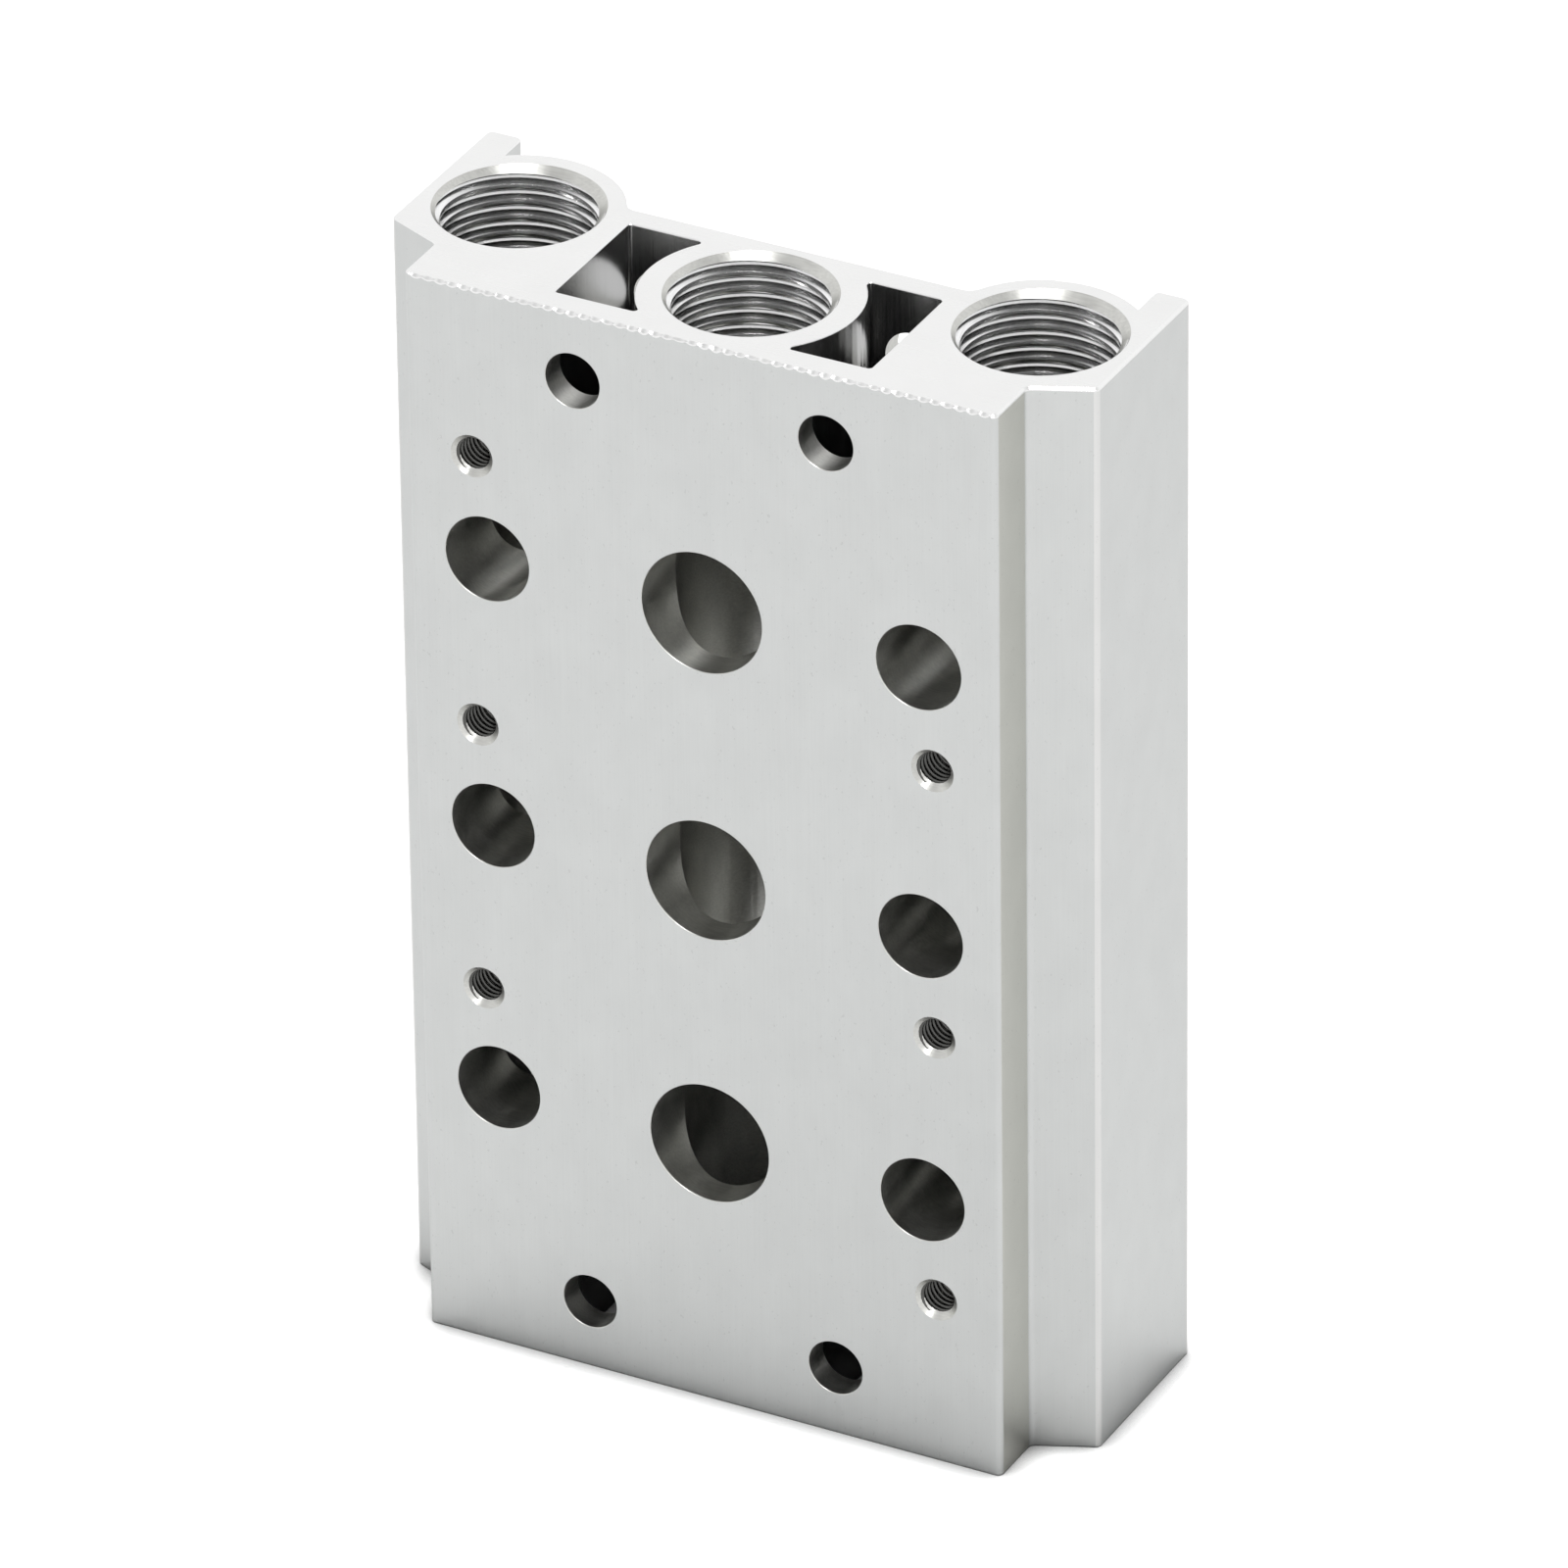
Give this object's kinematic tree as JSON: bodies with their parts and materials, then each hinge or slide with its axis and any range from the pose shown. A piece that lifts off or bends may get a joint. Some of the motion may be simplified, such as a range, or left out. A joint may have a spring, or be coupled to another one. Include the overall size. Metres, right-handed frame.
{
  "type": "pneumatic valve manifold base",
  "caption": "Upright aluminium manifold base, extruded and machined, with a stepped front face of valve holes, side shoulders, and tapped pipe ports with lightening pockets in both ends.",
  "frame": {"origin": "middle of the lower end face's bounding rectangle, at the height that the part stands on", "axes": "+Z along the extrusion, from the lower end to the upper; -Y out of the front face that the valves bolt to; +X to the right of that face"},
  "size_m": [0.0586, 0.0222, 0.0915],
  "materials": {
    "aluminium": "satin clear-anodised outside, bright cut metal at the ends and in the bores"
  },
  "bodies": {
    "root": {"manifold_body": "aluminium"}
  },
  "joints": []
}
